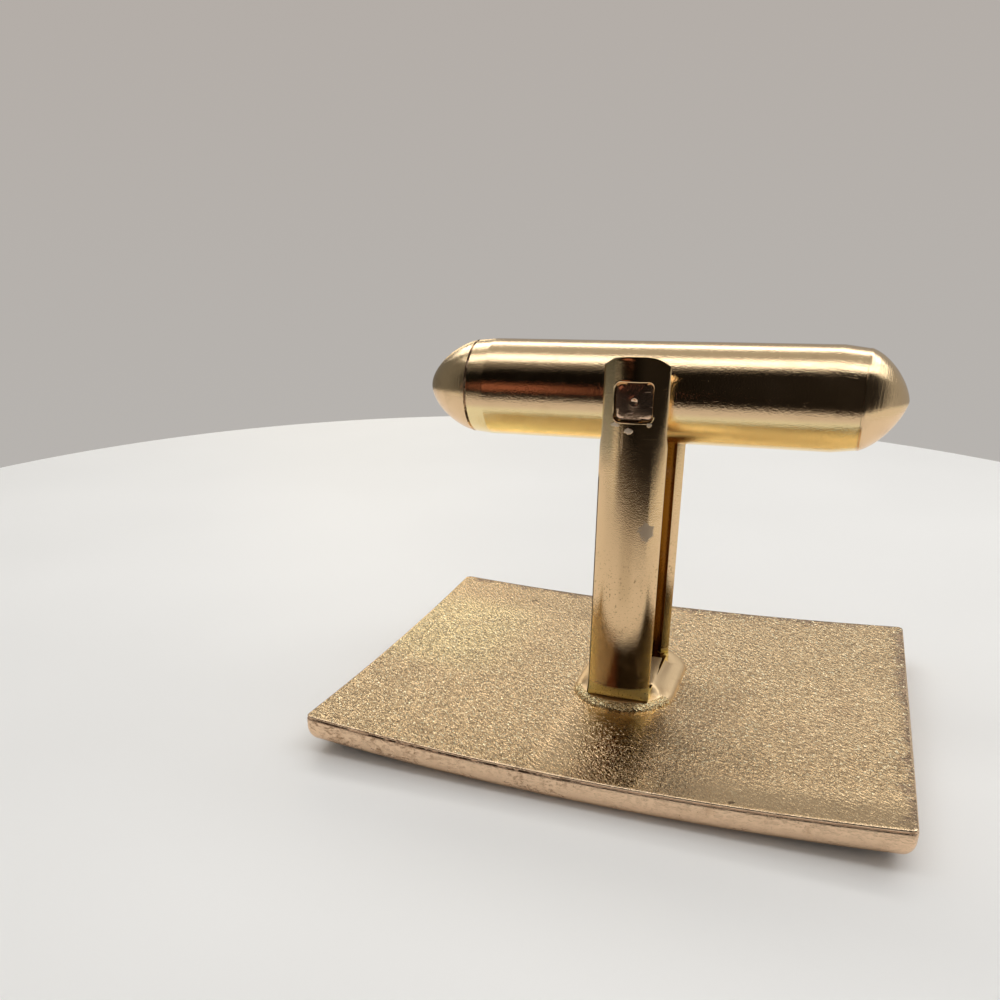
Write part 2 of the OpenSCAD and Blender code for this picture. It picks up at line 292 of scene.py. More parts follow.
def tinted(colour, marks, tints):
    """The colour under a row of tints, each with the name of its mask and its largest share."""
    for mark, share, tint in tints:
        colour = mix_colour(times(marks[mark], share), colour, tint)
    return colour


# Shared effect

def make_plating():
    """Polished plating: orange-peel height, fine scratches, patchy tarnish and its roughness."""
    group = bpy.data.node_groups.new("plating", "ShaderNodeTree")
    group.interface.new_socket(name="Place", in_out="INPUT", socket_type="NodeSocketVector")
    for label in ("Peel Scale", "Scratch Amount", "Tarnish Amount"):
        group.interface.new_socket(name=label, in_out="INPUT", socket_type="NodeSocketFloat")
    for label in ("Height", "Tarnish", "Roughness"):
        group.interface.new_socket(name=label, in_out="OUTPUT", socket_type="NodeSocketFloat")
    given, made = group.nodes.new("NodeGroupInput").outputs, group.nodes.new("NodeGroupOutput").inputs
    place = given["Place"]
    peel = noise(place, given["Peel Scale"], 3.0, 0.55)
    pits = noise(place, 14.0, 2.0, 0.6)
    along = mapped(place, Scale=(1.0, 4.0, 4.0), Rotation=(0.4, 0.6, 0.35))
    away = maths("ABSOLUTE", minus(noise(along, 0.7, 1.0, 0.5), 0.5))
    line = remap(away, 0.0, 0.006, 1.0, 0.0)
    here = remap(noise(place, 1.3, 2.0, 0.6), 0.56, 0.66)
    scratched = times(times(line, here), given["Scratch Amount"])
    patches = remap(noise(place, 0.9, 5.0, 0.62), 0.5, 0.72)
    surface = plus(peel, times(pits, 0.25))
    connect(made["Height"], minus(surface, times(scratched, 0.5)))
    connect(made["Tarnish"], times(patches, given["Tarnish Amount"]))
    rough = plus(times(patches, 0.1), times(scratched, 0.15))
    connect(made["Roughness"], rough)
    return group


def plated(plating, place, colour, peel, scratch, tarnish):
    """Height, roughness and tarnished colour of plating with these amounts of wear."""
    wear = node(place.id_data, "ShaderNodeGroup", {"node_tree": plating}, Place=place, Peel_Scale=peel,
                Scratch_Amount=scratch, Tarnish_Amount=tarnish)
    worn = mix_colour(wear.outputs["Tarnish"], colour, GOLD_TARNISH)
    return wear.outputs["Height"], wear.outputs["Roughness"], worn


# Materials

def gilt_material(name, plating, colour, roughness, bump, scratch, tarnish, peel, painted_amber_below=None):
    """Plated metal, with a painted amber reflection below the given height where one is given."""
    material, tree, shader = new_material(name)
    place = object_place(tree)
    height, rough, worn = plated(plating, place, colour, peel, scratch, tarnish)
    if painted_amber_below is not None:
        # Painted reflection: amber low on the part
        low = remap(axes(place)["Z"], painted_amber_below, painted_amber_below - PAINTED_AMBER_FADE)
        worn = mix_colour(low, worn, GOLD_PAINTED_AMBER)
    finish_metal(shader, worn, plus(rough, roughness), height, bump)
    return material


def leg_wear_and_painted_light(place):
    """Masks of the strip: pits low down, a stain, bare spots and a streak below the pin, a painted amber
    reflection round the foot and low on the sides, a darker stripe down the middle, and on the left painted
    shade along the edge and over the head's side."""
    across, _, height = axes(place)

    def spot(x, z, half_width, half_height, ragged):
        return spot_mask(place, (x, NEAR_LEG_Y, z), (half_width, NEAR_LEG_REACH, half_height), ragged)

    pits = remap(noise(place, 11.0, 3.0, 0.7), 0.59, 0.66)
    bare = [spot(x, PIVOT_Z - below, wide, high, 1.8) for x, below, wide, high in BARE_SPOTS]
    foot = remap(height, SEAT_Z + 0.75, SEAT_Z + 0.55)
    beside = remap(maths("ABSOLUTE", across), 0.88, 1.08)
    sides = times(beside, remap(height, 5.4, 3.4))
    return {
        "pit": times(pits, remap(height, 9.5, 6.0)),
        "stain": spot(0.82, 9.25, 0.36, 0.45, 1.6),
        "worn": larger(larger(bare[0], bare[1]), bare[2]),
        "streak": spot(-0.38, PIVOT_Z - 1.5, 0.07, 0.7, 0.8),
        "foot": foot,
        # Painted amber reflection of the gold below, round the foot and low on the sides
        "painted_amber_reflection": larger(foot, times(sides, 0.6)),
        # A darker brown tint down the middle of the leg, about 8 mm up; its roughness is left as it is
        "polish": times(band_mask(across, 0.1, 0.1, 0.3), band_mask(height, 8.2, 1.6, 1.2)),
        # Painted shade: a near-black line along the strip's left edge below the head
        "edge": area_mask(place, X=(-1.29, -1.35), Z=(11.6, 11.2)),
        # Painted shade: a grey-green darkening over the left side of the head
        "painted_shade_head_left": area_mask(place, X=(-0.62, -0.9), Z=(11.6, 12.8)),
    }


def leg_material(plating):
    """Polished strip with a fine grain, worn and stained, with painted reflection and shade from the strip's
    masks.
    """
    material, tree, shader = new_material("gilt_leg")
    place = object_place(tree)
    height, rough, colour = plated(plating, place, GOLD_LEG, peel=21.0, scratch=0.25, tarnish=0.1)
    marks = leg_wear_and_painted_light(place)
    colour = tinted(colour, marks, (
        ("polish", 0.3, (0.5, 0.34, 0.17, 1)), ("painted_shade_head_left", 0.65, (0.40, 0.35, 0.22, 1)),
        ("painted_amber_reflection", 0.9, (1.0, 0.82, 0.32, 1)), ("stain", 0.65, (0.45, 0.40, 0.34, 1)),
        ("pit", 0.85, (0.2, 0.12, 0.04, 1)), ("edge", 0.9, (0.05, 0.035, 0.02, 1)),
        ("worn", 0.9, (0.86, 0.77, 0.62, 1))))
    rough = plus(rough, 0.05)
    for mark, amount in (("stain", 0.3), ("worn", 0.3), ("streak", 0.2), ("foot", 0.4), ("edge", 0.3)):
        rough = plus(rough, times(marks[mark], amount))
    lift = plus(1.0, times(marks["worn"], 6.0))
    finish_metal(shader, colour, rough, times(height, lift), 0.0032)
    return material


def groove_material():
    """Groove under the plate's back edge, with brown old polish in it in patches, mostly to the left."""
    material, tree, shader = new_material("gilt_groove")
    place = object_place(tree)
    patches = remap(noise(place, 1.6, 4.0, 0.65), 0.42, 0.54)
    dirt = times(patches, remap(axes(place)["X"], 3.0, -2.0, 0.15, 0.9))
    feed(shader, Base_Color=mix_colour(dirt, GOLD_DULL, OLD_POLISH), Metallic=0.85,
         Roughness=remap(dirt, 0.0, 1.0, 0.3, 0.6))
    return material


def nose_material(plating):
    """Turned and polished nose with fine rings round its axis."""
    material, tree, shader = new_material("gilt_turned")
    place = object_place(tree)
    height, rough, colour = plated(plating, place, GOLD, peel=14.0, scratch=0.4, tarnish=0.35)
    rings = noise(object_place(tree, (1, 0.015, 0.015)), 13.0, 4.0, 0.75)
    height = plus(height, times(rings, 5.5))
    finish_metal(shader, colour, plus(rough, 0.14), height, 0.0026)
    return material


def edge_material(plating):
    """Side and border of the plate: pinkish gold with brown pits, lines and smudges."""
    material, tree, shader = new_material("gilt_edge")
    place = object_place(tree)
    height, rough, colour = plated(plating, place, GOLD_EDGE, peel=6.0, scratch=0.4, tarnish=0.3)
    pit = remap(noise(object_place(tree, (0.5, 0.5, 1.0)), 9.0, 4.0, 0.7), 0.47, 0.62)
    smudge = remap(noise(place, 0.5, 3.0, 0.6), 0.42, 0.58)
    smudge = times(smudge, remap(axes(place)["X"], 2.5, -1.5, 0.2, 1.0))
    brown = times(times(pit, smudge), 0.7)
    rough = plus(plus(rough, times(brown, 0.3)), 0.22)
    height = minus(height, times(pit, 0.8))
    finish_metal(shader, mix_colour(brown, colour, BROWN_PITS), rough, height, 0.006)
    return material


def back_wear_and_painted_light(place, slanting, coarse):
    """Masks of the back: calmer areas, the near one also darkened as painted shade, a dirty rim, a painted
    gleam at the left, smudges, spots, grains and pale specks of painted sparkle.
    """
    across, along, _ = axes(place)
    near = area_mask(place, X=(0.5, 5.0), Y=(-6.0, -8.8))
    far = area_mask(place, X=(1.0, -4.0), Y=(3.5, 7.5))
    front = times(band_mask(across, 0.3, 1.6, 1.2), remap(along, -1.5, -3.0))
    smooth = near
    patches = remap(noise(place, 0.16, 2.0, 0.5), 0.5, 0.75)
    for mask, share in ((patches, 0.35), (far, 0.7), (front, 0.8)):
        smooth = larger(smooth, times(mask, share))
    calm = minus(1.0, times(smooth, 0.75))
    past_end, past_side = PLATE_L / 2 - DIRTY_RIM_W, PLATE_W / 2 - DIRTY_RIM_W
    past = larger(minus(across, past_end), minus(along, past_side))
    frayed = times(minus(noise(place, 1.1, 4.0, 0.65), 0.5), 2.2)
    # Painted highlight: sparse pale specks standing in for the sanded grains' sparkle
    painted_sparkle_specks = remap(noise(slanting, 12.0, 1.0, 0.5), 0.61, 0.68)
    return {
        "near": near,
        "front": front,
        "calm": calm,
        "rim": remap(plus(past, frayed), -0.1, 0.5),
        # Painted highlight: a warm gleam at the back's left end
        "painted_gleam": times(remap(across, -5.0, -8.5), band_mask(along, 2.5, 2.5, 3.0)),
        "smudge": remap(noise(place, 0.34, 4.0, 0.6), 0.55, 0.75),
        "spot": remap(noise(place, 1.7, 2.0, 0.5), 0.73, 0.78),
        "hollow": times(remap(coarse, 0.62, 0.35), times(calm, 0.5)),
        "painted_sparkle": times(painted_sparkle_specks, calm),
    }


def back_material(plating):
    """Sand-finished back: short slanting grains with painted sparkle, calmed and stained, with a painted
    gleam and painted shade, from the back's masks.
    """
    material, tree, shader = new_material("gilt_sanded")
    place = object_place(tree)
    slanting = mapped(object_place(tree, turn=(0, 0, GRAIN_ANGLE)), Scale=(0.45, 1.0, 1.0))
    coarse = noise(slanting, 8.5, 2.0, 0.6)
    fine = noise(slanting, 21.0, 1.0, 0.5)
    marks = back_wear_and_painted_light(place, slanting, coarse)
    colour = plated(plating, place, GOLD_SANDED, peel=1.0, scratch=0.0, tarnish=0.15)[2]
    # The near area's brown tint is painted shade; its calmer bump is real smoothness
    colour = tinted(colour, marks, (
        ("painted_gleam", 0.8, (1.0, 0.80, 0.44, 1)), ("smudge", 0.4, (0.42, 0.26, 0.14, 1)),
        ("rim", 0.7, (0.24, 0.15, 0.12, 1)), ("hollow", 1.0, (0.20, 0.135, 0.07, 1)),
        ("near", 0.15, (0.35, 0.24, 0.14, 1)), ("painted_sparkle", 1.0, (1.0, 0.88, 0.60, 1)),
        ("spot", 0.8, (0.16, 0.09, 0.04, 1))))
    rough = minus(remap(fine, 0.3, 0.7, 0.16, 0.28), times(marks["front"], 0.08))
    height = times(plus(coarse, times(fine, 0.45)), marks["calm"])
    finish_metal(shader, colour, rough, height, 0.095)
    return material


def crescent_material():
    """Rough bright slope of the solder pad, pitted between grains whose pale colour is painted sparkle, with
    painted shade in front.
    """
    material, tree, shader = new_material("gilt_rough")
    place = object_place(tree)
    across, along, _ = axes(place)
    grain = noise(place, 9.0, 2.0, 0.6)
    marks = {
        "pit": remap(noise(place, 13.0, 2.0, 0.6), 0.55, 0.68),
        # Painted shade on the slope in front of the foot
        "shaded": times(band_mask(across, 0.35, 0.45, 0.4), remap(along, -2.4, -2.8)),
    }
    # Painted highlight: the pale grain colour stands in for sparkle
    colour = mix_colour(remap(grain, 0.42, 0.58), GOLD_ROUGH, GOLD_PAINTED_SPARKLE)
    colour = tinted(colour, marks, (
        ("pit", 0.7, (0.4, 0.24, 0.08, 1)), ("shaded", 0.7, (0.22, 0.13, 0.05, 1))))
    finish_metal(shader, colour, remap(grain, 0.3, 0.7, 0.34, 0.16), grain, 0.12)
    return material


def enamel_material(name, dark, bright, cloud_scale, coat=1.0):
    """Glossy translucent enamel with faint clouds and tiny specks under a clear surface."""
    material, tree, shader = new_material(name)
    place = object_place(tree)
    cloud = remap(noise(place, cloud_scale, 3.0, 0.5), 0.3, 0.7)
    marks = {"speck": remap(noise(place, 9.0, 1.0, 0.5), 0.73, 0.8)}
    colour = mix_colour(cloud, dark, bright)
    colour = tinted(colour, marks, [("speck", 0.25, (0.5, 0.5, 0.45, 1))])
    relief = node(tree, "ShaderNodeBump", Height=noise(place, 0.8, 2.0), Strength=1.0, Distance=0.01 * MM)
    feed(shader, Base_Color=colour, Roughness=0.3, Specular_IOR_Level=0.1, Coat_Weight=coat,
         Coat_Roughness=0.03, Normal=relief.outputs["Normal"])
    return material


def steel_material():
    """Drawn spring steel with a grain along the strip."""
    material, tree, shader = new_material("spring_steel")
    grain = noise(object_place(tree, (0.3, 8, 8)), 3.0, 3.0, 0.6)
    feed(shader, Base_Color=mix_colour(grain, STEEL_DARK, STEEL_BRIGHT), Metallic=1.0,
         Roughness=remap(grain, 0.2, 0.8, 0.25, 0.45))
    return material


# Mesh helpers

def loop_edges(bm, ring):
    return [bm.edges.get((vertex, ring[(i + 1) % len(ring)])) for i, vertex in enumerate(ring)]


def extrude_ring(bm, ring, points):
    """Extrudes a closed chain of edges and moves the new vertices to the points."""
    made = bmesh.ops.extrude_edge_only(bm, edges=loop_edges(bm, ring))["geom"]
    fresh = {item for item in made if isinstance(item, bmesh.types.BMVert)}
    new_ring = [next(e.other_vert(v) for e in v.link_edges if e.other_vert(v) in fresh) for v in ring]
    for vertex, point in zip(new_ring, points):
        vertex.co = point
    return new_ring


def loft(bm, rings, join_ends=False):
    """Closed loops of equal length, each extruded into the next; the ends are filled or joined."""
    first = bmesh.ops.create_circle(bm, cap_ends=False, segments=len(rings[0]), radius=MM)["verts"]
    for vertex, point in zip(first, rings[0]):
        vertex.co = point
    last = first
    for points in rings[1:]:
        last = extrude_ring(bm, last, points)
    if join_ends:
        bmesh.ops.bridge_loops(bm, edges=loop_edges(bm, first) + loop_edges(bm, last))
    else:
        bmesh.ops.contextual_create(bm, geom=first)
        bmesh.ops.contextual_create(bm, geom=last)


def add_piece(name, bm, materials, body, nodes, sharp_deg=35):
    """Turns a bmesh into a smooth-shaded piece that stands for its CAD nodes."""
    bmesh.ops.remove_doubles(bm, verts=bm.verts, dist=1e-8)
    bmesh.ops.recalc_face_normals(bm, faces=bm.faces)
    mesh = bpy.data.meshes.new(name)
    bm.to_mesh(mesh)
    bm.free()
    for material in materials:
        mesh.materials.append(material)
    mesh.shade_smooth()
    mesh.set_sharp_from_angle(angle=math.radians(sharp_deg))
    piece = bpy.data.objects.new(name, mesh)
    bpy.context.scene.collection.objects.link(piece)
    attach(piece, body)
    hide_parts(*nodes)


# Face plate

def bow_radius(chord, bow):
    return (chord * chord / 4 + bow * bow) / (2 * bow)


def crossing(c1, r1, c2, r2):
    """Point left of the line from c1 to c2 where the circles round them cross."""
    gap = c2 - c1
    ahead = gap.normalized()
    along = (r1 * r1 - r2 * r2 + gap.length_squared) / (2 * gap.length)
    side = math.sqrt(r1 * r1 - along * along)
    return c1 + along * ahead + side * Vector((-ahead.y, ahead.x))


def arc_points(centre, radius, start, end, steps):
    angles = [start + (end - start) * i / steps for i in range(steps + 1)]
    return [centre + radius * Vector((math.cos(a), math.sin(a))) for a in angles]


def plate_outline(inset, corner, long_steps=22, corner_steps=6, short_steps=18):
    """Bowed outline of the plate drawn in by an inset, as points round the middle."""
    long_r, short_r = bow_radius(PLATE_L, BOW_LONG), bow_radius(PLATE_W, BOW_SHORT)
    long_c = Vector((0, PLATE_W / 2 + BOW_LONG - long_r))
    short_c = Vector((PLATE_L / 2 + BOW_SHORT - short_r, 0))
    corner_c = crossing(short_c, short_r - inset - corner, long_c, long_r - inset - corner)
    long_a = math.atan2(corner_c.y - long_c.y, corner_c.x - long_c.x)
    short_a = math.atan2(corner_c.y - short_c.y, corner_c.x - short_c.x)
    quarter = arc_points(long_c, long_r - inset, math.pi / 2, long_a, long_steps)[:-1]
    quarter += arc_points(corner_c, corner, long_a, short_a, corner_steps)
    quarter += arc_points(short_c, short_r - inset, short_a, 0, short_steps)[1:]
    right = quarter + [Vector((p.x, -p.y)) for p in quarter[-2::-1]]
    return right + [-p for p in right[1:-1]]


def on_dome(x, y, radius):
    return Vector((x, y, DOME_R - math.sqrt(radius * radius - x * x - y * y))) * MM


def plate_ring(inset, corner, radius, scale=1.0):
    return [on_dome(p.x * scale, p.y * scale, radius) for p in plate_outline(inset, corner)]


def plate_share(x, y):
    """Below one within the inner edge of the border, measured from the middle of the face."""
    edge_x = PLATE_L / 2 + BOW_SHORT * (1 - (y / (PLATE_W / 2)) ** 2) - RIM_W + 0.02
    edge_y = PLATE_W / 2 + BOW_LONG * (1 - (x / (PLATE_L / 2)) ** 2) - RIM_W + 0.02
    return max(abs(x) / edge_x, abs(y) / edge_y)


def build_face_plate(edge, sanded, dark, polished):
    """Plate from the middle of its back, over the rounded edge and the border, to the middle of its face."""
    back_r, rim_r = DOME_R - PLATE_T, DOME_R + RIM_H
    rings = [plate_ring(BACK_INSETS[0], CORNER_R, back_r, share) for share in CENTRE_SHARES]
    rings += [plate_ring(inset, CORNER_R, back_r) for inset in BACK_INSETS]
    bead = [(BEAD_W, 0.0), (BEAD_W - 0.04, 0.008), (BEAD_W - 0.07, 0.028), (BEAD_W - 0.085, 0.058),
            (BEAD_W - 0.085, GROOVE_LOW), (GROOVE_IN, GROOVE_LOW + 0.015), (GROOVE_IN, GROOVE_HIGH - 0.02),
            (0.02, GROOVE_HIGH), (0.006, GROOVE_HIGH + 0.03), (0.0, GROOVE_HIGH + 0.1)]
    rings += [plate_ring(inset, CORNER_R - inset / 2, back_r + rise) for inset, rise in bead]
    for a in (math.pi / 2 * step / 10 for step in range(11)):
        inset = CURVE_IN * (1 - math.cos(a))
        rings.append(plate_ring(inset, CORNER_R - inset / 2, rim_r - CURVE_H * (1 - math.sin(a))))
    border = [(RIM_CREST_W, rim_r), (RIM_CREST_W + 0.03, rim_r - 0.012), (RIM_W - 0.03, DOME_R + 0.015),
              (RIM_W, FIELD_R)]
    rings += [plate_ring(inset, RIM_INNER_R, radius) for inset, radius in border]
    rings += [plate_ring(RIM_W, RIM_INNER_R, FIELD_R, share) for share in [0.985] + CENTRE_SHARES[::-1]]
    materials = [edge, sanded, dark, polished]
    bm = bmesh.new()
    loft(bm, rings)
    for face in bm.faces:
        c = face.calc_center_median() / MM
        distance = math.sqrt(c.x * c.x + c.y * c.y + (DOME_R - c.z) ** 2)
        inside = abs(c.x) < PLATE_L / 2 + BOW_SHORT - BEAD_W and abs(c.y) < PLATE_W / 2 + BOW_LONG - BEAD_W
        in_groove = back_r + GROOVE_LOW < distance < back_r + GROOVE_HIGH
        on_back = distance < back_r + 0.008 and inside
        on_field = distance > FIELD_R - 0.03 and plate_share(c.x, c.y) < 1
        shown = dark if in_groove else sanded if on_back else polished if on_field else edge
        face.material_index = materials.index(shown)
    for shares in (RING_OUTER, RING_INNER, BLUE_OVAL):
        add_cell_line(bm, shares)
    add_piece("plate", bm, materials, "front", ["face_plate"], 50)


def add_cell_line(bm, shares):
    """Thin raised metal line along the edge of one cell."""
    half = [(-LINE_HALF_W, LINE_FOOT_R), (-LINE_HALF_W, LINE_SIDE_R), (-LINE_HALF_W / 2, LINE_R)]
    sections = half + [(-grow, radius) for grow, radius in half[::-1]]
    loft(bm, [oval_points(shares, radius, grow=grow) for grow, radius in sections], join_ends=True)


def oval_sizes(shares):
    """Centre and half sizes of one oval."""
    return PLATE_L * shares[0], PLATE_W * shares[1], PLATE_L * shares[2] / 2, PLATE_W * shares[3] / 2


def oval_points(shares, radius, grow=0.0, scale=1.0):
    """Points of one oval on the dome, grown outwards by a length or scaled about its centre."""
    cx, cy, half_x, half_y = oval_sizes(shares)
    reach_x, reach_y = (half_x + grow) * scale, (half_y + grow) * scale
    angles = [2 * math.pi * i / OVAL_POINTS for i in range(OVAL_POINTS)]
    return [on_dome(cx + reach_x * math.cos(a), cy + reach_y * math.sin(a), radius) for a in angles]


def build_blue_oval(material):
    top, low = ENAMEL_R, DOME_R - ENAMEL_T
    rings = [oval_points(BLUE_OVAL, top, scale=s) for s in (0.04, 0.2, 0.35, 0.5, 0.65, 0.8, 0.92)]
    rings += [oval_points(BLUE_OVAL, top, grow=-ENAMEL_EDGE), oval_points(BLUE_OVAL, top - ENAMEL_EDGE_H)]
    rings += [oval_points(BLUE_OVAL, low), oval_points(BLUE_OVAL, low, scale=0.1)]
    bm = bmesh.new()
    loft(bm, rings)
    add_piece("blue_oval", bm, [material], "front", ["enamel_blue_oval"])


def build_green_ring(material):
    top, low = ENAMEL_R, DOME_R - ENAMEL_T
    outer = oval_points(RING_OUTER, top, grow=-ENAMEL_EDGE)
    inner = oval_points(RING_INNER, top, grow=ENAMEL_EDGE)
    rings = [oval_points(RING_OUTER, low), oval_points(RING_OUTER, top - ENAMEL_EDGE_H), outer]
    for step in range(1, 12):
        mixed = [a.lerp(b, step / 12) / MM for a, b in zip(outer, inner)]
        rings.append([on_dome(p.x, p.y, top) for p in mixed])
    rings += [inner, oval_points(RING_INNER, top - ENAMEL_EDGE_H), oval_points(RING_INNER, low)]
    bm = bmesh.new()
    loft(bm, rings, join_ends=True)
    add_piece("green_ring", bm, [material], "front", ["enamel_green_ring"])


def oval_crossing(side_x, side_y):
    """Angles on the field oval where it leaves the border at one corner."""
    cx, cy, half_x, half_y = oval_sizes(FIELD_OVAL)
    edge_x, edge_y = PLATE_L / 2 + BOW_SHORT - RIM_W, PLATE_W / 2 + BOW_LONG - RIM_W
    found = []
    for fixed in ("y", "x"):
        low, high = 0.0, math.pi / 2
        for _ in range(40):
            mid = (low + high) / 2
            x, y = cx + side_x * half_x * math.cos(mid), cy + side_y * half_y * math.sin(mid)
            bow_y = BOW_LONG * (x / (PLATE_L / 2)) ** 2
            bow_x = BOW_SHORT * (y / (PLATE_W / 2)) ** 2
            outside = abs(y) > edge_y - bow_y if fixed == "y" else abs(x) < edge_x - bow_x
            low, high = (low, mid) if outside else (mid, high)
        found.append((low + high) / 2)
    return found


def build_black_corner(name, side_x, side_y, material):
    """One corner cell: a sheet between the oval's arc and the border's corner, given its depth."""
    columns, rows = 60, 8
    start, end = oval_crossing(side_x, side_y)
    cx, cy, half_x, half_y = oval_sizes(FIELD_OVAL)
    outline = plate_outline(RIM_W, RIM_INNER_R, 60, 6, 60)
    wanted = [p for p in outline if p.x * side_x > 0 and p.y * side_y > 0]
    wanted.sort(key=lambda p: math.atan2(abs(p.y), abs(p.x)), reverse=True)

    def arc_at(t):
        a = start + (end - start) * t
        return Vector((cx + side_x * half_x * math.cos(a), cy + side_y * half_y * math.sin(a)))

    first = min(range(len(wanted)), key=lambda i: (wanted[i] - arc_at(0)).length)
    last = min(range(len(wanted)), key=lambda i: (wanted[i] - arc_at(1)).length)
    border = [arc_at(0)] + wanted[first + 1:last] + [arc_at(1)]
    lengths = [0.0]
    for a, b in zip(border, border[1:]):
        lengths.append(lengths[-1] + (b - a).length)

    def border_at(t):
        want = t * lengths[-1]
        k = max(i for i in range(len(lengths)) if lengths[i] <= want + 1e-9)
        if k == len(border) - 1:
            return border[-1]
        return border[k].lerp(border[k + 1], (want - lengths[k]) / (lengths[k + 1] - lengths[k]))

    bm = bmesh.new()
    bmesh.ops.create_grid(bm, x_segments=columns, y_segments=rows, size=1.0)
    for vertex in bm.verts:
        t, u = (vertex.co.x + 1) / 2, (vertex.co.y + 1) / 2
        p = arc_at(t).lerp(border_at(t), u)
        vertex.co = on_dome(p.x, p.y, ENAMEL_R)
    bmesh.ops.remove_doubles(bm, verts=bm.verts, dist=1e-8)
    for item in bmesh.ops.extrude_face_region(bm, geom=list(bm.faces))["geom"]:
        if isinstance(item, bmesh.types.BMVert):
            item.co = on_dome(item.co.x / MM, item.co.y / MM, DOME_R - ENAMEL_T)
    add_piece(name, bm, [material], "front", ["enamel_" + name])


# Solder pad

def pad_ring(inset, z, scale=1.0):
    """Stadium-shaped loop of the pad, drawn in by an inset, with a slightly wavy line."""
    radius, run = PAD_W / 2 - inset, (PAD_L - PAD_W) / 2
    points = []
    for i in range(PAD_POINTS):
        a = 2 * math.pi * (i + 0.5) / PAD_POINTS
        x, y = radius * math.cos(a), radius * math.sin(a)
        y += run if y > 0 else -run
        wave = 0.012 * math.sin(5 * a + 1) + 0.008 * math.sin(11 * a)
        x, y = x * scale * (1 + wave / 2), y * scale * (1 + wave / 3) + PAD_SHIFT
        points.append(Vector((x, y, z + solder_rise(x, y, z))) * MM)
    return points


def solder_rise(x, y, z):
    """Height of the solder that has run up over the web between the legs."""
    if z < SEAT_Z - 0.01:
        return 0.0
    across = min(max((abs(x) - SOLDER_X) / SOLDER_FALL_X, 0.0), 1.0)
    along = min(max((abs(y) - SOLDER_Y) / SOLDER_FALL_Y, 0.0), 1.0)
    return (STRIP_T + SOLDER_H) * (1 - across) ** 2 * (1 + 2 * across) * (1 - along * along * (3 - 2 * along))


def build_pad(satin, sanded):
    """Low pad whose sandy sides slope gently down to the plate's back."""
    rings = [pad_ring(PAD_SKIN, PAD_BASE_Z, 0.3), pad_ring(PAD_SKIN, PAD_BASE_Z), pad_ring(0.0, PAD_EDGE_Z)]
    for a in (math.pi / 2 * step / 8 for step in range(1, 9)):
        rise = (SEAT_Z - PAD_EDGE_Z) * math.sin(a)
        rings.append(pad_ring(PAD_SKIN + PAD_EDGE * (1 - math.cos(a)), PAD_EDGE_Z + rise))
    shares = [0.96, 0.92, 0.88, 0.84, 0.8, 0.76, 0.72, 0.68, 0.64, 0.6, 0.55, 0.5, 0.4, 0.25, 0.1]
    rings += [pad_ring(PAD_EDGE + PAD_SKIN, SEAT_Z, share) for share in shares]
    bm = bmesh.new()
    loft(bm, rings)
    for face in bm.faces:
        c = face.calc_center_median() / MM
        face.material_index = 1 if c.z < SEAT_Z - 0.02 and c.y < ROUGH_TO_Y else 0
    add_piece("pad", bm, [satin, sanded], "front", ["solder_pad"], 50)


# Post

def strip_path():
    """Rows of the strip from the near tip to the middle of the web: the stretch that each belongs to,
    and its height, its share of the tip, its angle on the heel or its place along the web."""
    rows = [("tip", 1 - i / 5) for i in range(5)]
    rows += [("leg", PIVOT_Z + HOLE_HALF - 2 * HOLE_HALF * i / 8) for i in range(9)]
    rows += [("leg", PIVOT_Z - HOLE_HALF - (PIVOT_Z - HOLE_HALF - NECK_LOW_Z) * i / 6) for i in range(1, 7)]
    foot = SEAT_Z + HEEL_R
    rows += [("leg", NECK_LOW_Z - (NECK_LOW_Z - foot) * i / 34) for i in range(1, 35)]
    rows += [("heel", math.pi / 2 * i / 10) for i in range(1, 11)]
    rows += [("web", (CROWN_Y - HEEL_R) * (1 - i / 5)) for i in range(1, 6)]
    return rows


def strip_point(kind, value, x_head):
    """Outer surface of the strip at one row, for a place across the head."""
    head = LEG_HALF_W / HEAD_HALF_W
    height = value if kind == "leg" else (PIVOT_Z + 1 if kind == "tip" else 0)
    t = min(max((height - NECK_LOW_Z) / (NECK_TOP_Z - NECK_LOW_Z), 0), 1)
    x = x_head * (head + (1 - head) * (t * t * (3 - 2 * t)))
    sag = LEG_R - math.sqrt(LEG_R ** 2 - x * x)
    rolled = min(max(1 - (height - SEAT_Z) / FOOT_H, EDGE_ROLL_UPPER), 1.0) if kind in ("leg", "tip") else 1.0
    sag += EDGE_ROLL * rolled * (max(abs(x) - EDGE_ROLL_FROM, 0.0) / (LEG_HALF_W - EDGE_ROLL_FROM)) ** 2
    if kind == "tip":
        top = TIP_Z - 0.02 - TIP_DROP * (abs(x_head) / HEAD_HALF_W) ** TIP_POWER
        hole_top = PIVOT_Z + HOLE_HALF
        return Vector((x, -(CROWN_Y - sag), hole_top + (top - hole_top) * value))
    if kind == "leg":
        return Vector((x, -(CROWN_Y - sag), value))
    if kind == "heel":
        share = 1 - value / (math.pi / 2)
        y = (CROWN_Y - HEEL_R) + (HEEL_R - sag * share) * math.cos(value)
        return Vector((x, -y, SEAT_Z + HEEL_R * (1 - math.sin(value))))
    return Vector((x, -value, SEAT_Z))


